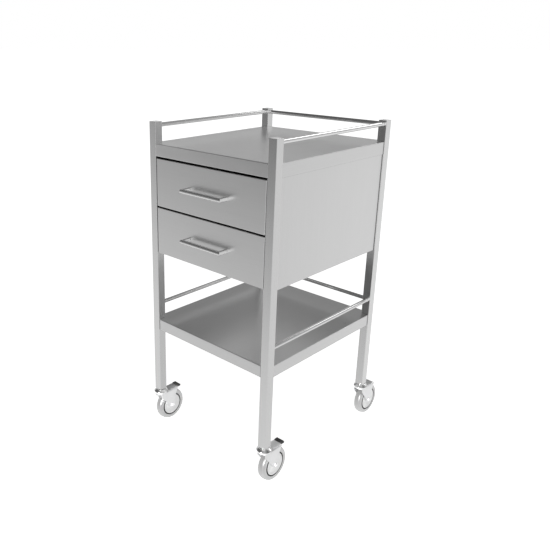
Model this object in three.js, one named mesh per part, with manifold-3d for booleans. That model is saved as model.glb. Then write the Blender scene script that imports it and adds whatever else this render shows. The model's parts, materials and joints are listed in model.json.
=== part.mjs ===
// Instrument cart: a square-tube frame on four swivel castors, a guarded work surface over a
// two-drawer cabinet, and a guarded shelf below. Millimetres, +Z up. The drawers face -Y and +X is
// on the right of someone facing them. The origin is on the floor, at the centre of the whole
// object's footprint box; the frame's own centre lies FRAME_Y from it, because the castors trail
// to the rear.
import * as THREE from 'three';
import { mergeVertices } from 'three/addons/utils/BufferGeometryUtils.js';
import Module from 'manifold-3d';

const wasm = await Module();
wasm.setup();

// ---------- driving dimensions ----------
const WIDTH = 450;            // over the uprights, X
const DEPTH = 505;            // over the uprights, Y
const HEIGHT = 955;           // floor to the top of the uprights
const POST = 25;              // square tube
const POST_WALL = 1.5;
const POST_CAP = 2;           // closed top
const POST_RADIUS = 1.5;      // outer corner
const POST_BORE_RADIUS = 0.4; // inner corner
const FOOT = 121;             // floor to the lower end of an upright
const SHEET = 1.2;            // shelf and panel sheet
const JOIN = 0.1;             // gap left at a welded joint
const FIT = 0.2;              // gap between neighbouring parts of the cabinet
const FOLD_STEP = 0.2;        // a folded strip's edge to the outer face it meets
const OVERSHOOT = 1;          // how far a cutter runs past an open side

const TOP_SURFACE = 896;      // work surface
const TOP_APRON = 35;         // folded edge of the top shelf
const LOW_SURFACE = 365;      // lower shelf
const LOW_APRON = 34.5;
const FRONT_INSET = 0.5;      // apron to the uprights' front face
const SIDE_INSET = 1.2;       // apron to the uprights' side and rear faces
const LIP = 12;               // inward return along an apron's lower edge

const RAIL_D = 12;            // round guard rails
const BAR_SIDES = 16;         // facets round a rail or a handle
const TOP_RAIL_Z = 944;
const LOW_RAIL_Z = 411.7;

const CABINET_BOTTOM = 575;
const PANEL_INSET = 2.7;      // side and back panel to the uprights' outer faces
const PANEL_LAP = 15;         // panel's height inside the top shelf's apron
const PANEL_LIP = 14;         // inward return along a panel's lower edge
const PANEL_GAP = 0.3;        // panel's inner face to the carriers and floor
const FLOOR_SHEET = 1;
const FLOOR_TONGUE = 4.5;     // floor's reach forward between the front uprights
const CARRIER_RISE = 11;      // cabinet bottom to carrier
const CARRIER_DROP = 10;      // top shelf's apron to carrier

const APRON_GAP = 5.3;        // between the top shelf's apron and the first drawer front
const DRAWER_GAP = 4.3;       // between the two fronts
const FRONT_H = 136;          // drawer front
const FRONT_T = 18;           // drawer front's depth over its folded edges
const SIDE_GAP = 2;           // front to upright
const TRAY_H = 100;
const TRAY_W = 375;
const TRAY_L = 430;
const TRAY_SHEET = 1;
const TRAY_RISE = 9;          // front's lower edge to the tray's underside
const RUNNER_L = 420;
const RUNNER_H = 45;
const RUNNER_SHEET = 1.2;
const RUNNER_FRONT = -230;    // front end, Y
const RUNNER_RISE = TRAY_H * 0.45; // tray's underside to the runners' centre line

const HANDLE_D = 12;          // round bar, mitred corners
const HANDLE_W = 150;         // over the arms
const HANDLE_OUT = 30;        // front of the bar to the drawer front

const WHEEL_R = 50;
const WHEEL_SIDES = 26;
const TRAIL = 36.5;           // swivel axis to wheel axle

// ---------- derived ----------
const HALF_WIDTH = WIDTH / 2;
const HALF_DEPTH = DEPTH / 2;
const INNER_X = HALF_WIDTH - POST;     // uprights' inner faces
const INNER_Y = HALF_DEPTH - POST;
const END_X = INNER_X - JOIN;          // ends of parts welded between uprights
const END_Y = INNER_Y - JOIN;
const POST_X = HALF_WIDTH - POST / 2;  // uprights' axes
const POST_Y = HALF_DEPTH - POST / 2;
const FRONT_Y = FRONT_INSET - HALF_DEPTH; // plane of the front apron and the drawer fronts
const APRON_BOTTOM = TOP_SURFACE - TOP_APRON;
const PANEL_TOP = APRON_BOTTOM + PANEL_LAP;
const PANEL_X = HALF_WIDTH - PANEL_INSET; // panels' outer faces
const PANEL_Y = HALF_DEPTH - PANEL_INSET;
const LINING_X = PANEL_X - SHEET - PANEL_GAP; // limits of the parts inside the panels
const LINING_Y = PANEL_Y - SHEET - PANEL_GAP;

// the rear castors reach furthest back and the handles furthest forward
const FRONT_REACH = HANDLE_OUT - FRONT_Y;
const REAR_REACH = POST_Y + TRAIL + WHEEL_R;
const FRAME_Y = (FRONT_REACH - REAR_REACH) / 2;

const SIDES = [['left', -1], ['right', 1]];
const CORNERS = [
  ['front_left', -1, -1], ['front_right', 1, -1], ['rear_left', -1, 1], ['rear_right', 1, 1],
];

// ---------- materials ----------
const material = (options) => new THREE.MeshStandardMaterial(options);
const MATERIALS = {
  tube: material({ color: 0xb4b4b4, roughness: 0.35, metalness: 1 }),
  sheet: material({ color: 0xa6a6a6, roughness: 0.4, metalness: 1 }),
  rail: material({ color: 0xc8c8c8, roughness: 0.2, metalness: 1 }),
  handle: material({ color: 0xc4c4c4, roughness: 0.22, metalness: 1 }),
  runner: material({ color: 0xa0a2a4, roughness: 0.35, metalness: 1 }),
  fork: material({ color: 0xcfd0d1, roughness: 0.4, metalness: 1 }),
  bolt: material({ color: 0xd8d8d8, roughness: 0.25, metalness: 1 }),
  hub: material({ color: 0xd0d0d0, roughness: 0.45, metalness: 0 }),
  tyre: material({ color: 0xb0b0b0, roughness: 0.35, metalness: 0 }),
  pad: material({ color: 0x303030, roughness: 0.6, metalness: 0 }),
};

// ---------- solids ----------
// a Manifold from a closed geometry; a Manifold passes through
function solid(shape) {
  if (!shape.isBufferGeometry) return shape;
  const bare = shape.clone();
  bare.deleteAttribute('normal');
  bare.deleteAttribute('uv');
  const merged = mergeVertices(bare, 1e-4);
  const index = merged.index.array;
  const triangles = [];
  for (let i = 0; i < index.length; i += 3) {
    const [a, b, c] = index.slice(i, i + 3);
    if (a !== b && b !== c && a !== c) triangles.push(a, b, c);
  }
  return new wasm.Manifold(new wasm.Mesh({
    numProp: 3,
    vertProperties: new Float32Array(merged.attributes.position.array),
    triVerts: new Uint32Array(triangles),
  }));
}
function geometryOf(manifold) {
  const mesh = manifold.getMesh();
  const indexed = new THREE.BufferGeometry();
  const positions = new Float32Array(mesh.vertProperties);
  indexed.setAttribute('position', new THREE.BufferAttribute(positions, 3));
  indexed.setIndex(new THREE.BufferAttribute(new Uint32Array(mesh.triVerts), 1));
  const flat = indexed.toNonIndexed();
  flat.computeVertexNormals();
  return flat;
}
const union = (...shapes) => shapes.map(solid).reduce((a, b) => a.add(b));
const cut = (...shapes) => shapes.map(solid).reduce((a, b) => a.subtract(b));
// a shape drawn for the right, mirrored for the left
const forSide = (shape, sign) => (sign > 0 ? shape : solid(shape).mirror([1, 0, 0]));

// ---------- shapes ----------
function box(x0, x1, y0, y1, z0, z1) {
  return new THREE.BoxGeometry(x1 - x0, y1 - y0, z1 - z0)
    .translate((x0 + x1) / 2, (y0 + y1) / 2, (z0 + z1) / 2);
}
// an outline of points or a THREE.Shape, raised along Z
function extrude(outline, depth, curveSegments) {
  const shape = outline instanceof THREE.Shape
    ? outline
    : new THREE.Shape(outline.map(([x, y]) => new THREE.Vector2(x, y)));
  return new THREE.ExtrudeGeometry(shape, { depth, bevelEnabled: false, curveSegments });
}
// a plan outline in XY, raised from z0 to z1
function prismZ(outline, z0, z1, curveSegments = 3) {
  return extrude(outline, z1 - z0, curveSegments).translate(0, 0, z0);
}
// an outline given as [y, z], extruded along X
function prismX(outline, x0, x1) {
  const turn = new THREE.Matrix4().set(0, 0, 1, x0, 1, 0, 0, 0, 0, 1, 0, 0, 0, 0, 0, 1);
  return extrude(outline, x1 - x0, 6).applyMatrix4(turn);
}
// points given as [x, z], extruded along Y
function prismY(points, y0, y1) {
  const turn = new THREE.Matrix4().set(0, 1, 0, 0, 0, 0, 1, y0, 1, 0, 0, 0, 0, 0, 0, 1);
  return extrude(points.map(([x, z]) => [z, x]), y1 - y0).applyMatrix4(turn);
}
// a profile of [radius, height] points; it closes on itself or ends on the axis
const lathe = (profile, sides) =>
  new THREE.LatheGeometry(profile.map(([r, h]) => new THREE.Vector2(r, h)), sides);
const latheZ = (profile, sides) => lathe(profile, sides).rotateX(Math.PI / 2);
const latheX = (profile, sides, turn = 0) =>
  lathe(profile, sides).rotateY(turn).rotateZ(-Math.PI / 2);

function cylinderX(radius, x0, x1, y, z, sides) {
  return new THREE.CylinderGeometry(radius, radius, x1 - x0, sides)
    .rotateZ(Math.PI / 2)
    .translate((x0 + x1) / 2, y, z);
}
function cylinderY(radius, y0, y1, x, z, sides) {
  return new THREE.CylinderGeometry(radius, radius, y1 - y0, sides)
    .translate(x, (y0 + y1) / 2, z);
}
function cylinderZ(radius, z0, z1, sides) {
  return new THREE.CylinderGeometry(radius, radius, z1 - z0, sides)
    .rotateX(Math.PI / 2)
    .translate(0, 0, (z0 + z1) / 2);
}
function roundedSquare(side, radius) {
  const centre = side / 2 - radius;
  const shape = new THREE.Shape();
  [[1, 1], [-1, 1], [-1, -1], [1, -1]].forEach(([sx, sy], i) => {
    shape.absarc(sx * centre, sy * centre, radius, i * Math.PI / 2, (i + 1) * Math.PI / 2);
  });
  return shape;
}
// a plan outline sideX to each side, narrowed to endX in front of and behind +-notchY
function notchedPlan({ endX, sideX, notchY, frontY, rearY }) {
  return [
    [-endX, frontY], [endX, frontY], [endX, -notchY], [sideX, -notchY],
    [sideX, notchY], [endX, notchY], [endX, rearY], [-endX, rearY],
    [-endX, notchY], [-sideX, notchY], [-sideX, -notchY], [-endX, -notchY],
  ];
}
// a C section open towards openX, centred on the second axis
function channel(webX, openX, half, sheet) {
  const innerX = webX - Math.sign(webX - openX) * sheet;
  return [
    [webX, -half], [webX, half], [openX, half], [openX, half - sheet],
    [innerX, half - sheet], [innerX, -half + sheet], [openX, -half + sheet], [openX, -half],
  ];
}

const cart = new THREE.Group();
const frame = new THREE.Group();
frame.position.set(0, FRAME_Y, 0);
cart.add(frame);
function add(name, shape, finish, parent = frame) {
  const mesh = new THREE.Mesh(geometryOf(solid(shape)), finish);
  mesh.name = name;
  parent.add(mesh);
  return mesh;
}

// ---------- uprights: closed at the top, open below for the castor's plug ----------
for (const [name, sx, sy] of CORNERS) {
  const bore = roundedSquare(POST - 2 * POST_WALL, POST_BORE_RADIUS);
  const tube = cut(
    prismZ(roundedSquare(POST, POST_RADIUS), FOOT, HEIGHT),
    prismZ(bore, FOOT - OVERSHOOT, HEIGHT - POST_CAP),
  );
  add(`post_${name}`, tube, MATERIALS.tube).position.set(sx * POST_X, sy * POST_Y, 0);
}

// ---------- shelves: a sheet notched round the uprights, with a folded edge on each side ----------
// the front apron always has a lip; allLips adds one to the other three
function shelf(surface, apron, allLips) {
  const sideX = HALF_WIDTH - SIDE_INSET;
  const rearY = HALF_DEPTH - SIDE_INSET;
  const plan = notchedPlan({ endX: END_X, sideX, notchY: END_Y, frontY: FRONT_Y, rearY });
  const low = surface - apron;
  const high = surface - FOLD_STEP;
  const lipTop = low + SHEET;
  const parts = [
    prismZ(plan, surface - SHEET, surface),
    box(-END_X, END_X, FRONT_Y, FRONT_Y + SHEET, low, high),
    box(-END_X, END_X, rearY - SHEET, rearY, low, high),
    box(sideX - SHEET, sideX, -END_Y, END_Y, low, high),
    box(-sideX, -sideX + SHEET, -END_Y, END_Y, low, high),
    box(-END_X, END_X, FRONT_Y + FOLD_STEP, FRONT_Y + LIP, low, lipTop),
  ];
  if (allLips) {
    parts.push(
      box(-END_X, END_X, rearY - LIP, rearY - FOLD_STEP, low, lipTop),
      box(sideX - LIP, sideX - FOLD_STEP, -END_Y, END_Y, low, lipTop),
      box(-sideX + FOLD_STEP, -sideX + LIP, -END_Y, END_Y, low, lipTop),
    );
  }
  return union(...parts);
}
add('top_shelf', shelf(TOP_SURFACE, TOP_APRON, false), MATERIALS.sheet);
add('lower_shelf', shelf(LOW_SURFACE, LOW_APRON, true), MATERIALS.sheet);

// ---------- guard rails: left, right and back, above each shelf ----------
for (const [level, z] of [['top', TOP_RAIL_Z], ['lower', LOW_RAIL_Z]]) {
  for (const [side, sign] of SIDES) {
    const rail = cylinderY(RAIL_D / 2, -END_Y, END_Y, sign * POST_X, z, BAR_SIDES);
    add(`${level}_rail_${side}`, rail, MATERIALS.rail);
  }
  const back = cylinderX(RAIL_D / 2, -END_X, END_X, POST_Y, z, BAR_SIDES);
  add(`${level}_rail_back`, back, MATERIALS.rail);
}

// ---------- cabinet: side and back panels lapped inside the top apron, floor, carriers ----------
const PANEL_LIP_TOP = CABINET_BOTTOM + SHEET;
const sidePanel = () => union(
  box(PANEL_X - SHEET, PANEL_X, -END_Y, END_Y, CABINET_BOTTOM, PANEL_TOP),
  box(PANEL_X - PANEL_LIP, PANEL_X - FOLD_STEP, -END_Y, END_Y, CABINET_BOTTOM, PANEL_LIP_TOP),
);
const backPanel = () => union(
  box(-END_X, END_X, PANEL_Y - SHEET, PANEL_Y, CABINET_BOTTOM, PANEL_TOP),
  box(-END_X, END_X, PANEL_Y - PANEL_LIP, PANEL_Y - FOLD_STEP, CABINET_BOTTOM, PANEL_LIP_TOP),
);
// flush with the uprights' inner faces; holds both drawers' runners
const runnerCarrier = () => prismZ(
  channel(INNER_X, LINING_X, END_Y, SHEET),
  CABINET_BOTTOM + CARRIER_RISE,
  APRON_BOTTOM - CARRIER_DROP,
);
function cabinetFloor() {
  const notchY = END_Y - FIT;
  const frontY = -notchY - FLOOR_TONGUE;
  const plan = notchedPlan({ endX: END_X, sideX: LINING_X, notchY, frontY, rearY: LINING_Y });
  const z = PANEL_LIP_TOP + FIT;
  return prismZ(plan, z, z + FLOOR_SHEET);
}
for (const [side, sign] of SIDES) {
  add(`side_panel_${side}`, forSide(sidePanel(), sign), MATERIALS.sheet);
  add(`runner_carrier_${side}`, forSide(runnerCarrier(), sign), MATERIALS.sheet);
}
add('back_panel', backPanel(), MATERIALS.sheet);
add('cabinet_floor', cabinetFloor(), MATERIALS.sheet);

// ---------- drawers ----------
// a folded pan, open towards the tray
function drawerFront(low, high) {
  const x = INNER_X - SIDE_GAP;
  const inX = x - SHEET;
  const rear = FRONT_Y + FRONT_T;
  return cut(
    box(-x, x, FRONT_Y, rear, low, high),
    box(-inX, inX, FRONT_Y + SHEET, rear + OVERSHOOT, low + SHEET, high - SHEET),
  );
}
// open at the top
function drawerTray(low) {
  const x = TRAY_W / 2;
  const inX = x - TRAY_SHEET;
  const front = FRONT_Y + FRONT_T + FIT;
  const rear = front + TRAY_L;
  const high = low + TRAY_H;
  return cut(
    box(-x, x, front, rear, low, high),
    box(-inX, inX, front + TRAY_SHEET, rear - TRAY_SHEET, low + TRAY_SHEET, high + OVERSHOOT),
  );
}
// a round bar with mitred corners, one ring of points for each corner and each end
function mitredBar(path, radius, sides) {
  const stations = path.map((point) => new THREE.Vector3(...point));
  const direction = (i) => stations[i + 1].clone().sub(stations[i]).normalize();
  const up = new THREE.Vector3(0, 0, 1);
  const rings = stations.map((station, i) => {
    const before = i > 0 ? direction(i - 1) : null;
    const after = i < stations.length - 1 ? direction(i) : null;
    const along = before ?? after;
    const normal = before && after ? before.clone().add(after).normalize() : along;
    const across = new THREE.Vector3().crossVectors(along, up);
    return Array.from({ length: sides }, (_, k) => {
      const angle = (2 * Math.PI * (k + 0.5)) / sides;
      const point = across.clone().multiplyScalar(radius * Math.cos(angle))
        .addScaledVector(up, radius * Math.sin(angle));
      // slide along the bar onto the mitre plane
      const slide = -point.dot(normal) / along.dot(normal);
      return point.addScaledVector(along, slide).add(station);
    });
  });
  const points = [];
  for (let i = 0; i + 1 < rings.length; i++) {
    const [a, b] = [rings[i], rings[i + 1]];
    for (let k = 0; k < sides; k++) {
      const next = (k + 1) % sides;
      points.push(a[k], b[k], b[next], a[k], b[next], a[next]);
    }
  }
  const first = rings[0];
  const last = rings[rings.length - 1];
  for (let k = 1; k + 1 < sides; k++) {
    points.push(first[0], first[k], first[k + 1], last[0], last[k + 1], last[k]);
  }
  return new THREE.BufferGeometry().setFromPoints(points);
}
function drawerHandle(z) {
  const x = (HANDLE_W - HANDLE_D) / 2;
  const root = FRONT_Y - JOIN;
  const out = FRONT_Y - HANDLE_OUT + HANDLE_D / 2;
  const path = [[-x, root, z], [-x, out, z], [x, out, z], [x, root, z]];
  return mitredBar(path, HANDLE_D / 2, BAR_SIDES);
}
// outer member on the carrier, inner on the tray, middle between them; right side, about z = 0
function runnerMembers() {
  const sheet = RUNNER_SHEET;
  const half = RUNNER_H / 2;
  const outerX = INNER_X - FIT;
  const innerX = TRAY_W / 2 + FIT;
  const rear = RUNNER_FRONT + RUNNER_L;
  const middle = channel(outerX - sheet - 1, outerX - 9.6, half - sheet - 0.7, sheet);
  const inner = channel(innerX, innerX + 7.2, half - 2 * sheet - 1.5, sheet);
  return {
    outer: prismY(channel(outerX, outerX - 10, half, sheet), RUNNER_FRONT, rear),
    middle: prismY(middle, RUNNER_FRONT + 1, rear - 1),
    inner: prismY(inner, RUNNER_FRONT, rear),
  };
}
for (const n of [1, 2]) {
  const high = APRON_BOTTOM - APRON_GAP - (n - 1) * (FRONT_H + DRAWER_GAP);
  const low = high - FRONT_H;
  const trayZ = low + TRAY_RISE;
  add(`drawer_${n}_front`, drawerFront(low, high), MATERIALS.sheet);
  add(`drawer_${n}_tray`, drawerTray(trayZ), MATERIALS.sheet);
  add(`drawer_${n}_handle`, drawerHandle((high + low) / 2), MATERIALS.handle);
  for (const [side, sign] of SIDES) {
    for (const [member, shape] of Object.entries(runnerMembers())) {
      const mesh = add(`runner_${n}_${side}_${member}`, forSide(shape, sign), MATERIALS.runner);
      mesh.position.z = trayZ + RUNNER_RISE;
    }
  }
}

// ---------- castors: the swivel axis is x = y = 0, z is from the floor ----------
const FORK_IN = 14;           // half the gap between the fork's plates
const FORK_SHEET = 2;
const FORK_OUT = FORK_IN + FORK_SHEET;
const FORK_TOP = 105;
const CUT_X = 20;             // half-length of a cutter through both plates
const AXLE_R = 4;
const RUN = 0.3;              // clearance round the axle, pedal pins and pedal tongue
const STEM_R = 6;
const STEM_CLEARANCE = 0.4;
const COLLAR_TOP = FOOT - 0.2;
const PLUG = POST - 2 * POST_WALL - 0.6; // side of the square plug in the upright
const PLUG_RADIUS = 1.5;
const PLUG_RISE = 45;         // plug's height inside the upright
const HUB_R = 36.2;
const PIN_R = 2;              // brake pedal's pins
const PIN_Y = 26;
const PIN_Z = 99;
const PIN_SIDES = 10;
const PEDAL_X = 13.7;         // half-width
const PEDAL_LOW = 104.5;
const PEDAL_HIGH = 106.5;
const TONGUE_X = 10;          // half-width of the tongue inside the pad
const TONGUE_END = 69;

// bolt head, neck and collar under a square plug
function castorStem() {
  return union(
    latheZ([ // [radius, z]
      [0, 98], [9, 98], [9, 102.6], [STEM_R, 102.6],
      [STEM_R, 119.4], [12.3, 119.4], [12.3, COLLAR_TOP], [0, COLLAR_TOP],
    ], 16),
    prismZ(roundedSquare(PLUG, PLUG_RADIUS), 120.2, FOOT + PLUG_RISE),
  );
}
// the flat top, round in front of the swivel axis
function crownPlan() {
  const shape = new THREE.Shape();
  shape.absarc(0, 0, FORK_OUT, Math.PI, 2 * Math.PI);
  shape.lineTo(FORK_OUT, 57);
  shape.lineTo(-FORK_OUT, 57);
  return shape;
}
// side plate in [y, z], rounded below the axle
function forkPlate() {
  const shape = new THREE.Shape();
  shape.moveTo(-13, FORK_TOP);
  shape.lineTo(-13, 99);
  shape.lineTo(0, 80);
  shape.lineTo(TRAIL - 7.6, WHEEL_R - 4.2);
  shape.absarc(TRAIL, WHEEL_R, 8.7, Math.PI + 0.5, 2 * Math.PI + 0.15);
  shape.lineTo(49.5, 88);
  shape.lineTo(58, 102);
  shape.lineTo(57, FORK_TOP);
  return shape;
}
function castorFork(braked) {
  // race housing under a dished cap, [radius, z]
  const head = latheZ([
    [5, 104], [18, 104], [18, 110.4], [20.8, 110.8],
    [21.4, 112.6], [14, 118.2], [5, 119], [5, 104],
  ], 20);
  const fork = cut(
    union(
      head,
      prismZ(crownPlan(), FORK_TOP - FORK_SHEET, FORK_TOP, 10),
      prismX(forkPlate(), FORK_IN, FORK_OUT),
      prismX(forkPlate(), -FORK_OUT, -FORK_IN),
    ),
    cylinderZ(STEM_R + STEM_CLEARANCE, 100, 125, 16),
    cylinderX(AXLE_R + RUN, -CUT_X, CUT_X, TRAIL, WHEEL_R, 14),
  );
  if (!braked) return fork;
  // the pedal replaces the crown's rear part and turns in two pin holes
  return cut(
    fork,
    box(-FORK_IN, FORK_IN, 19.5, 70, 95, 106),
    cylinderX(PIN_R + RUN, -CUT_X, CUT_X, PIN_Y, PIN_Z, PIN_SIDES),
  );
}
// wheel profiles are [radius, x]
const castorAxle = () => latheX([
  [0, -18.6], [5, -18.6], [6.2, -17.8], [6.2, -16.3], [AXLE_R, -16.3],
  [AXLE_R, 16.3], [6.2, 16.3], [6.2, 17.8], [5, 18.6], [0, 18.6],
], 12);
const castorHub = () => latheX([
  [AXLE_R + RUN, -13.2], [9, -13.2], [10, -10.2], [34.4, -11.2], [HUB_R, -10],
  [HUB_R, 10], [34.4, 11.2], [10, 10.2], [9, 13.2], [AXLE_R + RUN, 13.2], [AXLE_R + RUN, -13.2],
], WHEEL_SIDES, Math.PI / WHEEL_SIDES);
function castorTyre() {
  // facets, not corners, reach the wheel's radius
  const facetScale = 1 / Math.cos(Math.PI / WHEEL_SIDES);
  const profile = [
    [36.5, -11], [44, -12], [48, -9.6], [WHEEL_R, -4],
    [WHEEL_R, 4], [48, 9.6], [44, 12], [36.5, 11], [36.5, -11],
  ].map(([r, x]) => [r * facetScale, x]);
  return latheX(profile, WHEEL_SIDES, Math.PI / WHEEL_SIDES);
}
function brakePedal() {
  const ear = [ // [y, z]
    [21, PEDAL_HIGH], [21, 98], [23, 95.6], [29, 95.6], [33, PEDAL_LOW], [33, PEDAL_HIGH],
  ];
  return union(
    box(-PEDAL_X, PEDAL_X, 21, 58.2, PEDAL_LOW, PEDAL_HIGH),
    box(-TONGUE_X, TONGUE_X, 58, TONGUE_END, PEDAL_LOW, PEDAL_HIGH),
    prismX(ear, 12.6, PEDAL_X),
    prismX(ear, -PEDAL_X, -12.6),
    cylinderX(PIN_R, 13.2, 16.4, PIN_Y, PIN_Z, PIN_SIDES),
    cylinderX(PIN_R, -16.4, -13.2, PIN_Y, PIN_Z, PIN_SIDES),
  );
}
// sleeve over the pedal's tongue
function pedalPad() {
  const outline = [ // [y, z]
    [58.5, 103.6], [60, 103.2], [71.5, 103.4], [73, 105],
    [72.6, 108.6], [71.4, 109.3], [60, 108.2], [58.5, 107],
  ];
  const x = TONGUE_X + RUN;
  return cut(
    prismX(outline, -13.5, 13.5),
    box(-x, x, 57, TONGUE_END + RUN, PEDAL_LOW - RUN, PEDAL_HIGH + RUN),
  );
}
for (const [name, sx, sy] of CORNERS) {
  const castor = new THREE.Group();
  castor.position.set(sx * POST_X, sy * POST_Y, 0);
  frame.add(castor);
  const wheel = new THREE.Group();
  const braked = sy < 0;
  add(`castor_${name}_stem`, castorStem(), MATERIALS.bolt, castor);
  add(`castor_${name}_fork`, castorFork(braked), MATERIALS.fork, castor);
  wheel.position.set(0, TRAIL, WHEEL_R);
  castor.add(wheel);
  add(`castor_${name}_axle`, castorAxle(), MATERIALS.bolt, wheel);
  add(`castor_${name}_hub`, castorHub(), MATERIALS.hub, wheel);
  add(`castor_${name}_tyre`, castorTyre(), MATERIALS.tyre, wheel);
  if (braked) {
    add(`castor_${name}_brake_pedal`, brakePedal(), MATERIALS.fork, castor);
    add(`castor_${name}_brake_pad`, pedalPad(), MATERIALS.pad, castor);
  }
}

export default cart;
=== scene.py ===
import json
import math

import bmesh
import bpy
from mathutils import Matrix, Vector

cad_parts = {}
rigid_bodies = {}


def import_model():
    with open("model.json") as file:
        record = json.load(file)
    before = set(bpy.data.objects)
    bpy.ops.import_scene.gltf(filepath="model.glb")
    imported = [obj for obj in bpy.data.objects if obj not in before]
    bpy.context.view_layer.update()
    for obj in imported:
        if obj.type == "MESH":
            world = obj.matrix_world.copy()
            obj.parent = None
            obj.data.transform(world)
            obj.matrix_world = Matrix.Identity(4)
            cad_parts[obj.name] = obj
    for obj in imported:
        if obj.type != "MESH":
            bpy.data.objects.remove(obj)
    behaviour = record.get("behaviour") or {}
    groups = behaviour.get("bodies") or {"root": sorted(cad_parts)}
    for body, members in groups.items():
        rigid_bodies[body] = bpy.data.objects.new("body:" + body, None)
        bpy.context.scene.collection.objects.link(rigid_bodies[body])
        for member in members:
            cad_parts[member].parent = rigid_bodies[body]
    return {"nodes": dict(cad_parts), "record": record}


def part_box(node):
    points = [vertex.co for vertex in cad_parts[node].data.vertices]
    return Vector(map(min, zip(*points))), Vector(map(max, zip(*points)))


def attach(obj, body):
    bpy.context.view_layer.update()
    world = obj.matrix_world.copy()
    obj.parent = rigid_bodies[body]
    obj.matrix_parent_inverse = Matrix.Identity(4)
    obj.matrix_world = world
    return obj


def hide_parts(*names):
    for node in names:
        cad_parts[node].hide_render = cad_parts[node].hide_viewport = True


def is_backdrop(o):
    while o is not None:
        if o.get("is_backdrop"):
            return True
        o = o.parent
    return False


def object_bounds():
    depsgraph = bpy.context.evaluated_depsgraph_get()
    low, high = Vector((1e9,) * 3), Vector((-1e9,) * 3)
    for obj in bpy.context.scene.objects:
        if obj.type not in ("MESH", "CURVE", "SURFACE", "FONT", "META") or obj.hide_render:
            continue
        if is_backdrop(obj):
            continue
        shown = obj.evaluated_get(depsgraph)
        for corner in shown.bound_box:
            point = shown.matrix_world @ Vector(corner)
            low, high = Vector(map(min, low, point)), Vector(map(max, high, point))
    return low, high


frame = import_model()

CAD_LO, CAD_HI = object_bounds()
MM = 0.001
CORNERS = ("front_left", "front_right", "rear_left", "rear_right")


# ------------------------------------------------------------------ mesh helpers

def fillet(points, radius, steps=5, closed=False):
    """Rounds the corners of a 2D polyline. radius is one number or one per point."""
    out, n = [], len(points)
    for i, p in enumerate(points):
        p = Vector(p)
        r = radius[i] if isinstance(radius, (list, tuple)) else radius
        if r <= 0 or (not closed and i in (0, n - 1)):
            out.append(p)
            continue
        a, c = Vector(points[i - 1]) - p, Vector(points[(i + 1) % n]) - p
        la, lc = a.length, c.length
        a.normalize(); c.normalize()
        angle = a.angle(c)
        if angle > math.pi - 1e-3:
            out.append(p)
            continue
        d = min(r / math.tan(angle / 2), la * 0.499, lc * 0.499)
        r = d * math.tan(angle / 2)
        centre = p + (a + c).normalized() * (r / math.sin(angle / 2))
        v0, v1 = p + a * d - centre, p + c * d - centre
        total = v0.angle(v1)
        for k in range(steps + 1):
            t = k / steps
            out.append(centre + (v0 * math.sin((1 - t) * total) + v1 * math.sin(t * total)) / math.sin(total))
    return out


def sheet(points, t, radius, side=1, steps=5):
    """Closed outline of a folded sheet: points run along its outer face, the thickness lies to the left (side=1) or right."""
    pts, inner = [Vector(p) for p in points], []
    for i, p in enumerate(pts):
        ns = []
        for a, b in ((i - 1, i), (i, i + 1)):
            if 0 <= a and b < len(pts):
                d = (pts[b] - pts[a]).normalized()
                ns.append(Vector((-d.y, d.x)) * side)
        m = (ns[0] + ns[-1]).normalized()
        inner.append(p + m * (t / m.dot(ns[0])))
    return fillet(pts, radius, steps) + list(reversed(fillet(inner, max(radius - t, 0.15 * MM), steps)))


def rrect(cx, cy, hx, hy, r, n=6):
    """A rounded rectangle's points, anticlockwise."""
    r = max(min(r, hx * 0.999, hy * 0.999), 0.03 * MM)
    pts = []
    for sx, sy, a0 in ((1, 1, 0), (-1, 1, 90), (-1, -1, 180), (1, -1, 270)):
        for k in range(n + 1):
            a = math.radians(a0 + 90 * k / n)
            pts.append((cx + sx * (hx - r) + r * math.cos(a), cy + sy * (hy - r) + r * math.sin(a)))
    return pts


def loft(bm, loops, cap0=True, cap1=True, around=False, mat=0):
    """Joins point loops of equal count with quads. around joins the last loop to the first."""
    rows = [[bm.verts.new(p) for p in loop] for loop in loops]
    n = len(rows[0])
    pairs = list(zip(rows, rows[1:])) + ([(rows[-1], rows[0])] if around else [])
    for a, b in pairs:
        for i in range(n):
            j = (i + 1) % n
            f = bm.faces.new((a[i], a[j], b[j], b[i]))
            f.material_index = mat
    if not around:
        if cap0:
            bm.faces.new(list(reversed(rows[0]))).material_index = mat
        if cap1:
            bm.faces.new(rows[-1]).material_index = mat
    return rows


def xy(w):
    return lambda p: (p[0], p[1], w)


def xz(w):
    return lambda p: (p[0], w, p[1])


def yz(w):
    return lambda p: (w, p[0], p[1])


def prism(bm, outline, plane, w0, w1, mat=0):
    """An outline in a plane (xy, xz or yz), extruded from w0 to w1."""
    return loft(bm, [[plane(w)(p) for p in outline] for w in (w0, w1)], mat=mat)


def box_lathe(bm, plane, cx, cy, hx, hy, r, profile, n=5, cap0=True, cap1=True, mat=0):
    """Rounded rectangles stacked along a profile of (inset, height): a lathe with four flat sides."""
    return loft(bm, [[plane(w)(p) for p in rrect(cx, cy, hx - u, hy - u, r - u, n)] for u, w in profile], cap0, cap1, mat=mat)


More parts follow.
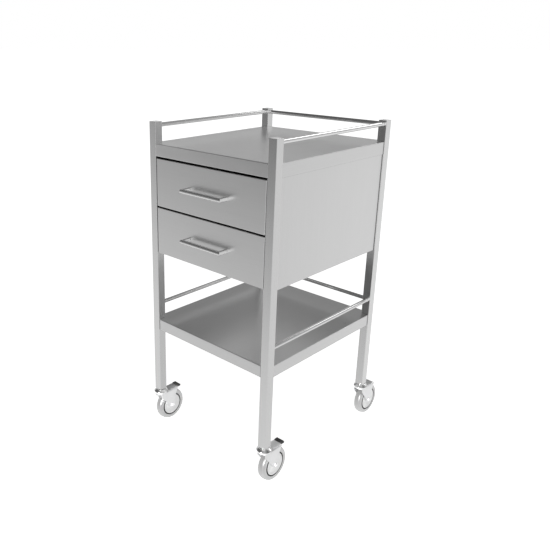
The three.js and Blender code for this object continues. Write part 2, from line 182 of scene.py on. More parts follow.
def lathe(bm, profile, origin, axis, segs=64, closed=False, mat=0, turn=0.0):
    """A profile of (radius, height) turned about an axis through origin: axis is 0, 1 or 2. A radius of 0 makes a pole."""
    o = Vector(origin)
    e = [Vector((1, 0, 0)), Vector((0, 1, 0)), Vector((0, 0, 1))]
    w, u, v = e[axis], e[(axis + 1) % 3], e[(axis + 2) % 3]
    rows = []
    for r, h in profile:
        if r <= 1e-9:
            rows.append([bm.verts.new(o + w * h)])
        else:
            rows.append([bm.verts.new(o + w * h + (u * math.cos(a) + v * math.sin(a)) * r)
                         for a in (2 * math.pi * k / segs + turn for k in range(segs))])
    pairs = list(zip(rows, rows[1:])) + ([(rows[-1], rows[0])] if closed else [])
    for a, b in pairs:
        for i in range(segs):
            j = (i + 1) % segs
            if len(a) == 1 and len(b) == 1:
                continue
            if len(a) == 1:
                f = bm.faces.new((a[0], b[j], b[i]))
            elif len(b) == 1:
                f = bm.faces.new((a[i], a[j], b[0]))
            else:
                f = bm.faces.new((a[i], a[j], b[j], b[i]))
            f.material_index = mat
    return rows


def tube(bm, path, r, sides=32, flare=0.0, flare_len=0.0, mat=0):
    """A round bar along a path of straight runs with mitred corners; each end can flare into a weld fillet."""
    P = [Vector(p) for p in path]
    if flare > 0:
        rings = []
        for k, (f, s) in enumerate(((1.0, 0.02), (0.55, 0.16), (0.22, 0.42), (0.05, 0.75), (0.0, 1.0))):
            rings.append((f, s))
        head = [(P[0] + (P[1] - P[0]).normalized() * flare_len * s, r + flare * f) for f, s in rings]
        tail = [(P[-1] + (P[-2] - P[-1]).normalized() * flare_len * s, r + flare * f) for f, s in reversed(rings)]
        stations = head + [(p, r) for p in P[1:-1]] + tail
    else:
        stations = [(p, r) for p in P]
    loops = []
    up = Vector((0, 0, 1))
    for i, (p, rad) in enumerate(stations):
        a = (p - stations[i - 1][0]).normalized() if i > 0 else None
        b = (stations[i + 1][0] - p).normalized() if i < len(stations) - 1 else None
        d = a or b
        plane = (a + b).normalized() if a and b else d
        side = d.cross(up).normalized()
        loop = []
        for k in range(sides):
            t = 2 * math.pi * (k + 0.5) / sides
            q = side * (rad * math.cos(t)) + up * (rad * math.sin(t))
            q = q + d * (-q.dot(plane) / d.dot(plane))
            loop.append(p + q)
        loops.append(loop)
    loft(bm, loops, mat=mat)
    return loops


def settle(o):
    """Makes the object's modifiers part of its mesh."""
    dg = bpy.context.evaluated_depsgraph_get()
    me = bpy.data.meshes.new_from_object(o.evaluated_get(dg), preserve_all_data_layers=True, depsgraph=dg)
    old, name = o.data, o.data.name
    o.modifiers.clear()
    o.data = me
    bpy.data.meshes.remove(old)
    me.name = name
    return o


def raw(name, bm, weld=1e-7):
    if weld:
        bmesh.ops.remove_doubles(bm, verts=bm.verts, dist=weld)
    bmesh.ops.recalc_face_normals(bm, faces=bm.faces)
    me = bpy.data.meshes.new(name)
    bm.to_mesh(me)
    bm.free()
    o = bpy.data.objects.new(name, me)
    bpy.context.scene.collection.objects.link(o)
    return o


def boolean(o, cutter, operation):
    m = o.modifiers.new("cut", "BOOLEAN")
    m.operation, m.object, m.solver = operation, cutter, "EXACT"
    settle(o)
    bpy.data.objects.remove(cutter)
    return o


def piece(node, made, mats, bevel=0.0, bevel_steps=2, solidify=0.0, sharp=38, also=()):
    """Turns mesh code into a finished piece: edges broken, normals weighted, material given, riding on the node's body."""
    o = raw(node + "_visual", made) if isinstance(made, bmesh.types.BMesh) else made
    o.name = node + "_visual"
    o.data.name = o.name
    if solidify:
        m = o.modifiers.new("thickness", "SOLIDIFY")
        m.thickness, m.offset, m.use_even_offset, m.use_quality_normals = solidify, -1, True, True
        settle(o)
    if bevel:
        m = o.modifiers.new("edges", "BEVEL")
        m.width, m.segments, m.limit_method, m.angle_limit = bevel, bevel_steps, "ANGLE", math.radians(42)
        m.use_clamp_overlap, m.miter_outer = True, "MITER_ARC"
        settle(o)
    me = o.data
    me.polygons.foreach_set("use_smooth", [True] * len(me.polygons))
    me.set_sharp_from_angle(angle=math.radians(sharp))
    m = o.modifiers.new("normals", "WEIGHTED_NORMAL")
    m.keep_sharp, m.weight, m.mode = True, 50, "FACE_AREA"
    settle(o)
    # clearing the material list also clears every face's index into it, so the indices are kept aside
    index = [f.material_index for f in o.data.polygons]
    o.data.materials.clear()
    for mat in (mats if isinstance(mats, (list, tuple)) else [mats]):
        o.data.materials.append(mat)
    o.data.polygons.foreach_set("material_index", [min(i, len(o.data.materials) - 1) for i in index])
    o.data.update()
    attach(o, NODE_BODY[node])
    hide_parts(node, *also)
    return o


NODE_BODY = {n: body for body, ns in frame["record"]["behaviour"]["bodies"].items() for n in ns}


# ------------------------------------------------------------------ materials

class Nodes:
    """A short way to write a node tree."""

    def __init__(self, tree):
        self.t = tree
        tree.nodes.clear()

    def add(self, kind, inputs=None, **props):
        n = self.t.nodes.new(kind)
        for k, v in props.items():
            setattr(n, k, v)
        for k, v in (inputs or {}).items():
            self.put(n.inputs[k], v)
        return n

    def put(self, socket, v):
        if isinstance(v, bpy.types.NodeSocket):
            self.t.links.new(v, socket)
        elif isinstance(v, (tuple, list)) and socket.type == "RGBA" and len(v) == 3:
            socket.default_value = (*v, 1)
        else:
            socket.default_value = v

    def math(self, op, a, b=None, c=None, clamp=False):
        n = self.t.nodes.new("ShaderNodeMath")
        n.operation, n.use_clamp = op, clamp
        for i, v in enumerate((a, b, c)):
            if v is not None:
                self.put(n.inputs[i], v)
        return n.outputs[0]

    def ramp(self, fac, lo, hi, a=0.0, b=1.0, smooth=False):
        n = self.add("ShaderNodeMapRange", interpolation_type="SMOOTHSTEP" if smooth else "LINEAR")
        for i, v in enumerate((fac, lo, hi, a, b)):
            self.put(n.inputs[i], v)
        return n.outputs[0]

    def noise(self, vector, scale, detail=3.0, rough=0.5):
        n = self.add("ShaderNodeTexNoise", {"Vector": vector, "Scale": scale, "Detail": detail, "Roughness": rough})
        return n.outputs["Fac"]

    def stretched(self, coords, scale):
        return self.add("ShaderNodeMapping", {"Vector": coords, "Scale": scale}).outputs[0]

    def grey(self, v):
        return self.add("ShaderNodeCombineColor", {0: v, 1: v, 2: v}).outputs[0]


def material(name):
    m = bpy.data.materials.new(name)
    m.use_nodes = True
    g = Nodes(m.node_tree)
    out = g.add("ShaderNodeOutputMaterial")
    bsdf = g.add("ShaderNodeBsdfPrincipled")
    g.put(out.inputs["Surface"], bsdf.outputs[0])
    coords = g.add("ShaderNodeTexCoord").outputs["Object"]
    return m, g, bsdf, coords


def brushed(name, grain, tone=0.60, rough=0.30, spread=0.04, tint=(1.0, 1.0, 1.0), scratch=1.0, seam_shade_z=0.0, shade_at_joins=()):
    """Stainless steel with a satin grain along one axis (0, 1 or 2): fine streaks in tone, roughness and height,
    broader cloudy variation from handling, and a few longer scratches."""
    m, g, b, co = material(name)
    fine, coarse, cloud = [1600.0] * 3, [420.0] * 3, [9.0] * 3
    fine[grain], coarse[grain], cloud[grain] = 14.0, 5.0, 3.0
    s1 = g.noise(g.stretched(co, fine), 1.0, 3.0, 0.6)
    s2 = g.noise(g.stretched(co, coarse), 1.0, 2.0, 0.5)
    s3 = g.noise(g.stretched(co, cloud), 1.0, 3.0, 0.55)
    smudge = g.noise(co, 26.0, 4.0, 0.6)
    streak = g.math("ADD", g.math("MULTIPLY", s1, 0.6), g.math("MULTIPLY", s2, 0.4))
    v = g.math("MULTIPLY_ADD", g.math("SUBTRACT", streak, 0.5), 0.08 * scratch, tone)
    v = g.math("MULTIPLY_ADD", g.math("SUBTRACT", s3, 0.5), 0.03, v)
    if seam_shade_z:  # painted shade: the colour is darkened in a thin line just below where a panel goes up behind another sheet
        z = g.add("ShaderNodeSeparateXYZ", {0: co}).outputs[2]
        line = g.math("MULTIPLY", g.ramp(z, seam_shade_z - 1.1 * MM, seam_shade_z - 0.5 * MM, 0, 1, True), g.ramp(z, seam_shade_z + 1 * MM, seam_shade_z + 3 * MM, 1, 0, True))
        v = g.math("MULTIPLY", v, g.math("SUBTRACT", 1.0, g.math("MULTIPLY", line, 0.5)))
    for box in shade_at_joins:  # painted shade: a dark line painted where a sheet's end meets an upright; each box is (axis, from, to) on |x|, |y - centre| and z
        parts = g.add("ShaderNodeSeparateXYZ", {0: co})
        at = (g.math("ABSOLUTE", parts.outputs[0]), g.math("ABSOLUTE", g.math("SUBTRACT", parts.outputs[1], MID_Y)), parts.outputs[2])
        inside = 1.0
        for axis, low, high in box:
            inside = g.math("MULTIPLY", inside, g.math("MULTIPLY", g.math("GREATER_THAN", at[axis], low), g.math("LESS_THAN", at[axis], high)))
        v = g.math("MULTIPLY", v, g.math("SUBTRACT", 1.0, g.math("MULTIPLY", inside, 0.74)))
    color = g.add("ShaderNodeMix", {"Factor": 1.0}, data_type="RGBA", blend_type="MULTIPLY")
    g.put(color.inputs[6], g.grey(v))
    g.put(color.inputs[7], (*tint, 1))
    g.put(b.inputs["Base Color"], color.outputs[2])
    g.put(b.inputs["Metallic"], 1.0)
    r = g.math("MULTIPLY_ADD", g.math("SUBTRACT", streak, 0.5), spread * 2.0, rough)
    r = g.math("MULTIPLY_ADD", g.math("SUBTRACT", smudge, 0.5), 0.05, r)
    r = g.math("MULTIPLY_ADD", g.math("SUBTRACT", s3, 0.5), 0.04, r, clamp=True)
    g.put(b.inputs["Roughness"], r)
    bump = g.add("ShaderNodeBump", {"Strength": 0.05 * scratch, "Distance": 0.00002, "Height": streak})
    wave = g.noise(co, 7.0, 1.0, 0.4)
    bump2 = g.add("ShaderNodeBump", {"Strength": 0.12, "Distance": 0.0004, "Height": wave, "Normal": bump.outputs[0]})
    g.put(b.inputs["Normal"], bump2.outputs[0])
    g.put(b.inputs["Anisotropic"], 0.35)
    direction = [0.0, 0.0, 0.0]
    direction[grain] = 1.0
    g.put(b.inputs["Tangent"], g.add("ShaderNodeCombineXYZ", {0: direction[0], 1: direction[1], 2: direction[2]}).outputs[0])
    return m


def polished(name, axis, tone=0.66, rough=0.09):
    """Polished bar: fine turning marks round the axis and a faint haze."""
    m, g, b, co = material(name)
    s = [60.0] * 3
    s[axis] = 2600.0
    rings = g.noise(g.stretched(co, s), 1.0, 2.0, 0.5)
    haze = g.noise(co, 60.0, 4.0, 0.6)
    g.put(b.inputs["Base Color"], g.grey(g.math("MULTIPLY_ADD", g.math("SUBTRACT", rings, 0.5), 0.06, tone)))
    g.put(b.inputs["Metallic"], 1.0)
    r = g.math("MULTIPLY_ADD", g.math("SUBTRACT", haze, 0.5), 0.07, rough)
    g.put(b.inputs["Roughness"], g.math("MULTIPLY_ADD", g.math("SUBTRACT", rings, 0.5), 0.04, r, clamp=True))
    g.put(b.inputs["Normal"], g.add("ShaderNodeBump", {"Strength": 0.05, "Distance": 0.00002, "Height": rings}).outputs[0])
    return m


def zinc(name, tone=0.62, rough=0.34, grainy=0.05):
    """Bright zinc plate: a fine crystalline mottle with drawn lines along the part."""
    m, g, b, co = material(name)
    cells = g.add("ShaderNodeTexVoronoi", {"Vector": co, "Scale": 420.0}, feature="F1").outputs["Color"]
    val = g.add("ShaderNodeSeparateColor", {0: cells}).outputs[0]
    lines = g.noise(g.stretched(co, (1200.0, 9.0, 1200.0)), 1.0, 2.0, 0.5)
    cloud = g.noise(co, 35.0, 4.0, 0.6)
    v = g.math("MULTIPLY_ADD", g.math("SUBTRACT", val, 0.5), grainy, tone)
    v = g.math("MULTIPLY_ADD", g.math("SUBTRACT", cloud, 0.5), 0.06, v)
    color = g.add("ShaderNodeCombineColor", {0: g.math("MULTIPLY", v, 0.997), 1: v, 2: g.math("MULTIPLY", v, 1.004)})
    g.put(b.inputs["Base Color"], color.outputs[0])
    g.put(b.inputs["Metallic"], 1.0)
    r = g.math("MULTIPLY_ADD", g.math("SUBTRACT", lines, 0.5), 0.12, rough)
    g.put(b.inputs["Roughness"], g.math("MULTIPLY_ADD", g.math("SUBTRACT", cloud, 0.5), 0.10, r, clamp=True))
    h = g.math("ADD", g.math("MULTIPLY", val, 0.4), lines)
    g.put(b.inputs["Normal"], g.add("ShaderNodeBump", {"Strength": 0.12, "Distance": 0.00003, "Height": h}).outputs[0])
    return m


def moulded(name, tone, rough, grain_scale, grain_height, spread=0.02, spec=0.5, coat=0.0, dust=0.0):
    """Moulded plastic or rubber: a pebbled mould texture, slight colour drift, dull where it rubs."""
    m, g, b, co = material(name)
    pebble = g.noise(co, grain_scale, 2.0, 0.55)
    drift = g.noise(co, 22.0, 3.0, 0.5)
    v = g.math("MULTIPLY_ADD", g.math("SUBTRACT", drift, 0.5), spread * 2, tone)
    v = g.math("MULTIPLY_ADD", g.math("SUBTRACT", pebble, 0.5), spread, v, clamp=True)
    if dust:
        low = g.add("ShaderNodeSeparateXYZ", {0: co}).outputs[2]
        near_floor = g.ramp(low, 0.0, 0.030, dust, 0.0, smooth=True)
        v = g.math("MULTIPLY", v, g.math("SUBTRACT", 1.0, g.math("MULTIPLY", near_floor, g.noise(co, 140.0, 3.0, 0.6))))
    g.put(b.inputs["Base Color"], g.grey(v))
    g.put(b.inputs["Metallic"], 0.0)
    r = g.math("MULTIPLY_ADD", g.math("SUBTRACT", drift, 0.5), 0.14, rough)
    g.put(b.inputs["Roughness"], g.math("MULTIPLY_ADD", g.math("SUBTRACT", pebble, 0.5), 0.08, r, clamp=True))
    g.put(b.inputs["Specular IOR Level"], spec)
    g.put(b.inputs["Coat Weight"], coat)
    g.put(b.inputs["Normal"], g.add("ShaderNodeBump", {"Strength": 0.25, "Distance": grain_height, "Height": pebble}).outputs[0])
    return m


POST_A, POST_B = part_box("post_front_right"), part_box("post_rear_left")
MID_Y = (POST_A[0].y + POST_B[1].y) / 2
END_X, END_Y = POST_A[0].x, MID_Y - POST_A[1].y  # the uprights' inner faces, from the centre
STEEL_X = brushed("steel_satin_x", 0)
STEEL_Y = brushed("steel_satin_y", 1)
# the side and back panels' colour gets painted shade: a line below the top shelf's apron, and lines at the side panels'
# ends by the uprights
STEEL_Z = brushed("steel_satin_z", 2, seam_shade_z=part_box("top_shelf")[0].z, shade_at_joins=[((0, END_X + 0.015, 1.0), (1, END_Y - 3.2 * MM, END_Y + 1 * MM))])
# the shelves' colour gets painted shade lines where their aprons end at the uprights
SHELF = brushed("shelf_satin", 1, shade_at_joins=[
    ((0, END_X + 0.015, 1.0), (1, END_Y - 2.2 * MM, END_Y + 1 * MM)),
    ((0, END_X - 2.0 * MM, END_X + 1 * MM), (1, END_Y + 0.018, 1.0), (2, 0.0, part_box("lower_shelf")[1].z - 1 * MM)),
])
TUBE_Z = brushed("tube_satin_z", 2, rough=0.20, spread=0.025, scratch=0.5)
RAIL_X = polished("rail_polished_x", 0)
RAIL_Y = polished("rail_polished_y", 1)
HANDLE = polished("handle_satin", 0, tone=0.62, rough=0.27)
ZINC = zinc("runner_zinc_plate")
FORK = zinc("castor_satin_zinc", tone=0.77, rough=0.42, grainy=0.03)
CHROME = polished("castor_chrome", 2, tone=0.82, rough=0.09)
PEDAL = zinc("pedal_steel", tone=0.80, rough=0.33, grainy=0.03)
BOLT = zinc("axle_cap_bright", tone=0.95, rough=0.40, grainy=0.02)
HUB = moulded("hub_plastic_grey", 0.78, 0.36, 900.0, 0.00003, spread=0.012)
TYRE = moulded("tyre_rubber_grey", 0.58, 0.22, 700.0, 0.00002, spread=0.02, dust=0.06)
# near black: painted shade for the groove between hub and tyre, not a part of its own
GROOVE_SHADE = moulded("wheel_groove_painted_shade", 0.035, 0.50, 700.0, 0.00002, spread=0.008)
PAD = moulded("pad_rubber_black", 0.055, 0.50, 1300.0, 0.00006, spread=0.008)


# ------------------------------------------------------------------ uprights

def arc(u, w, r, a0, a1, steps=4):
    return [(u + r * math.cos(math.radians(a0 + (a1 - a0) * k / steps)), w + r * math.sin(math.radians(a0 + (a1 - a0) * k / steps))) for k in range(steps + 1)]


for corner in CORNERS:
    node = "post_" + corner
    lo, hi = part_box(node)
    cx, cy = (lo.x + hi.x) / 2, (lo.y + hi.y) / 2
    h, wall, z0, z1 = (hi.x - lo.x) / 2, 1.5 * MM, lo.z, hi.z
    top = 0.7 * MM
    profile = [(wall, z0 + 44 * MM), (wall, z0 + 0.3 * MM), (wall - 0.3 * MM, z0), (0.35 * MM, z0), (0, z0 + 0.35 * MM)]
    profile += [(0, z0 + 0.25), (0, z0 + 0.5)]
    profile += [(top - u, z1 - top + w) for u, w in arc(0, 0, top, 0, 90, 4)]
    bm = bmesh.new()
    box_lathe(bm, xy, cx, cy, h, h, 1.0 * MM, profile, n=6)
    piece(node, bm, TUBE_Z)


# ------------------------------------------------------------------ shelves

def shelf(node, lips):
    lo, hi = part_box(node)
    t, R, gap = 1.2 * MM, 1.6 * MM, 0.1 * MM
    fr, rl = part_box("post_front_right"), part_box("post_rear_left")
    xn0, xn1 = rl[1].x + gap, fr[0].x - gap
    yn0, yn1 = fr[1].y + gap, rl[0].y - gap
    x0, x1, y0, y1, z1 = lo.x, hi.x, lo.y, hi.y, hi.z
    x0, x1 = x0 + 0.9 * MM, x1 - 0.9 * MM  # the side aprons sit a little further in between the uprights
    if lips:
        y0, y1 = y0 + 1.2 * MM, y1 - 0.9 * MM
    apron = hi.z - lo.z
    bm = bmesh.new()

    def run(edge, out, lip):
        """edge is two points on the flat sheet where the bend starts; out is the outward direction."""
        prof = [(R * math.sin(a), -R + R * math.cos(a)) for a in (math.radians(90 * k / 7) for k in range(8))]
        if lip:
            r2 = 1.6 * MM
            prof += [(R - r2 + r2 * math.cos(a), -apron + r2 - r2 * math.sin(a)) for a in (math.radians(90 * k / 6) for k in range(7))]
            prof.append((R - 12 * MM, -apron))
        else:
            prof.append((R, -apron))
        rows = [[bm.verts.new((e[0] + out[0] * u, e[1] + out[1] * u, z1 + w)) for e in edge] for u, w in prof]
        for a, b in zip(rows, rows[1:]):
            bm.faces.new((a[0], a[1], b[1], b[0]))

    outline = [
        (xn0, y0 + R), (xn1, y0 + R), (xn1, yn0), (x1 - R, yn0), (x1 - R, yn1), (xn1, yn1),
        (xn1, y1 - R), (xn0, y1 - R), (xn0, yn1), (x0 + R, yn1), (x0 + R, yn0), (xn0, yn0),
    ]
    bm.faces.new([bm.verts.new((x, y, z1)) for x, y in outline])
    run((outline[0], outline[1]), (0, -1), True)
    run((outline[3], outline[4]), (1, 0), lips)
    run((outline[6], outline[7]), (0, 1), lips)
    run((outline[9], outline[10]), (-1, 0), lips)
    bmesh.ops.remove_doubles(bm, verts=bm.verts, dist=1e-6)
    bmesh.ops.recalc_face_normals(bm, faces=bm.faces)
    if max(bm.faces, key=lambda f: f.calc_area()).normal.z < 0:
        bmesh.ops.reverse_faces(bm, faces=bm.faces)
    me = bpy.data.meshes.new(node)
    bm.to_mesh(me)
    bm.free()
    o = bpy.data.objects.new(node, me)
    bpy.context.scene.collection.objects.link(o)
    piece(node, o, SHELF, solidify=t, bevel=0.22 * MM)


shelf("top_shelf", False)
shelf("lower_shelf", True)


# ------------------------------------------------------------------ guard rails

for level in ("top", "lower"):
    for side in ("left", "right", "back"):
        node = f"{level}_rail_{side}"
        lo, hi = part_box(node)
        c = (lo + hi) / 2
        axis = 0 if side == "back" else 1
        r, L = (hi.z - lo.z) / 2, (hi[axis] - lo[axis]) / 2
        flare = [(0, -L), (r + 0.45 * MM, -L), (r + 0.42 * MM, -L + 0.1 * MM), (r + 0.2 * MM, -L + 0.35 * MM), (r + 0.06 * MM, -L + 0.7 * MM), (r, -L + 1.2 * MM)]
        prof = flare + [(r, 0)] + [(a, -b) for a, b in reversed(flare)]
        bm = bmesh.new()
        lathe(bm, prof, c, axis, 56)
        piece(node, bm, RAIL_X if axis == 0 else RAIL_Y)


# ------------------------------------------------------------------ cabinet panels

T = 1.2 * MM
for side, s in (("left", -1), ("right", 1)):
    node = "side_panel_" + side
    lo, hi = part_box(node)
    xo = (hi.x if s > 0 else lo.x) - s * 1.0 * MM
    xi = lo.x if s > 0 else hi.x
    bm = bmesh.new()
    prism(bm, sheet([(xo, hi.z), (xo, lo.z), (xi, lo.z)], T, 2 * MM, side=-s), xz, lo.y, hi.y)
    piece(node, bm, STEEL_Z, bevel=0.2 * MM)
    node = "runner_carrier_" + side
    lo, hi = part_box(node)
    web, lip = (lo.x, hi.x - 1.0 * MM) if s > 0 else (hi.x, lo.x + 1.0 * MM)
    bm = bmesh.new()
    prism(bm, sheet([(lip, lo.y), (web, lo.y), (web, hi.y), (lip, hi.y)], T, 2 * MM, side=-s), xy, lo.z, hi.z)
    o = raw(node, bm)
    holes = bmesh.new()
    for zc in (lo.z + 0.055, lo.z + 0.105, lo.z + 0.165, lo.z + 0.215):
        for yc in (lo.y + 0.05, lo.y + 0.14, (lo.y + hi.y) / 2, hi.y - 0.14, hi.y - 0.05):
            prism(holes, rrect(yc, zc, 7 * MM, 2.6 * MM, 2.55 * MM, 4), yz, web - 4 * MM, web + 4 * MM)
    boolean(o, raw("holes", holes), "DIFFERENCE")
    piece(node, o, STEEL_Y, bevel=0.2 * MM)

lo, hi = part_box("back_panel")
bm = bmesh.new()
prism(bm, sheet([(hi.y, hi.z), (hi.y, lo.z), (lo.y, lo.z)], T, 2 * MM, side=-1), yz, lo.x, hi.x)
piece("back_panel", bm, STEEL_Z, bevel=0.2 * MM)

floor_node = frame["nodes"]["cabinet_floor"]
floor_node.data.materials.clear()
floor_node.data.materials.append(STEEL_Y)


# ------------------------------------------------------------------ drawers

for n in (1, 2):
    node = f"drawer_{n}_front"
    lo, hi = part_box(node)
    cx, cz, hx, hz = (lo.x + hi.x) / 2, (lo.z + hi.z) / 2, (hi.x - lo.x) / 2, (hi.z - lo.z) / 2
    y0, y1, R = lo.y, hi.y, 1.6 * MM
    prof = [(R - u, y0 + R - w) for u, w in arc(0, 0, R, 90, 0, 6)]
    prof += [(0, y1 - 0.25 * MM), (0.25 * MM, y1), (T - 0.25 * MM, y1), (T, y1 - 0.25 * MM), (T, y0 + R)]
    prof += [(R - u, y0 + R - w) for u, w in arc(0, 0, R - T, 0, 90, 3)]
    bm = bmesh.new()
    box_lathe(bm, xz, cx, cz, hx, hz, 1.3 * MM, prof, n=4)
    piece(node, bm, STEEL_X)

    node = f"drawer_{n}_tray"
    lo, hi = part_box(node)
    cx, cy, hx, hy = (lo.x + hi.x) / 2, (lo.y + hi.y) / 2, (hi.x - lo.x) / 2, (hi.y - lo.y) / 2
    z0, z1, t, R, hem = lo.z, hi.z, 1.0 * MM, 1.8 * MM, 1.15 * MM
    prof = [(R + u, z0 + R + w) for u, w in arc(0, 0, R, 270, 180, 5)]
    prof += [(hem + u, z1 - hem + w) for u, w in arc(0, 0, hem, 180, 0, 8)]
    prof += [(2 * hem, z1 - 8.8 * MM), (2 * hem - 0.2 * MM, z1 - 9 * MM), (t + 0.15 * MM, z1 - 9 * MM), (t, z1 - 9.15 * MM), (t, z0 + R)]
    prof += [(R + u, z0 + R + w) for u, w in arc(0, 0, R - t, 180, 270, 4)]
    bm = bmesh.new()
    box_lathe(bm, xy, cx, cy, hx, hy, 2.2 * MM, prof, n=5)
    piece(node, bm, STEEL_Y)

    node = f"drawer_{n}_handle"
    lo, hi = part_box(node)
    r = (hi.z - lo.z) / 2
    # the bar's radius is taken over its flats' corners, so the round bar keeps the same size
    r = round(r / MM * 2) / 2 * MM
    xs, ys, zc = (lo.x + r, hi.x - r), (hi.y, lo.y + r), (lo.z + hi.z) / 2
    bm = bmesh.new()
    tube(bm, [(xs[0], ys[0], zc), (xs[0], ys[1], zc), (xs[1], ys[1], zc), (xs[1], ys[0], zc)], r, 40, flare=0.6 * MM, flare_len=1.4 * MM)
    mitre = [e for e in bm.edges if all(abs((abs(v.co.x - (lo.x + hi.x) / 2) - (xs[1] - xs[0]) / 2) - (ys[1] - v.co.y)) < 1e-6 for v in e.verts)]
    bmesh.ops.bevel(bm, geom=mitre, offset=0.7 * MM, segments=3, profile=0.5, affect="EDGES", clamp_overlap=True)
    piece(node, bm, HANDLE, sharp=50)

    for side, s in (("left", -1), ("right", 1)):
        for member in ("outer", "middle", "inner"):
            node = f"runner_{n}_{side}_{member}"
            lo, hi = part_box(node)
            # the outer and middle members open towards the drawer, the inner one towards the cabinet's side
            web_high = (s > 0) == (member != "inner")
            xw, xo = (hi.x, lo.x) if web_high else (lo.x, hi.x)
            out = sheet([(xo, hi.z), (xw, hi.z), (xw, lo.z), (xo, lo.z)], T, 2.0 * MM, side=-1 if web_high else 1)
            bm = bmesh.new()
            prism(bm, out, xz, lo.y, hi.y)
            o = raw(node, bm)
            cut = bmesh.new()
            zc, L = (lo.z + hi.z) / 2, hi.y - lo.y
            for k in range(6):
                yc = lo.y + L * (0.08 + 0.168 * k)
                slot_l = 6.5 * MM if k % 2 else 2.6 * MM
                prism(cut, rrect(yc, zc, slot_l, 2.6 * MM, 2.55 * MM, 5), yz, xw - 3 * MM, xw + 3 * MM)
            boolean(o, raw("cut", cut), "DIFFERENCE")
            piece(node, o, ZINC, bevel=0.15 * MM, bevel_steps=1)


# ------------------------------------------------------------------ castors

def hexagon(r, n=6):
    return [(r * math.cos(math.pi / 6 + k * math.pi / 3), r * math.sin(math.pi / 6 + k * math.pi / 3)) for k in range(n)]


def groove_shade_faces(bm, axle, r0, r1):
    """Gives the faces that lie between two radii from a wheel's axle the second material, which is near-black painted
    shade for the groove.
    """
    for f in bm.faces:
        m = f.calc_center_median()
        if r0 < math.hypot(m.y - axle.y, m.z - axle.z) < r1:
            f.material_index = 1


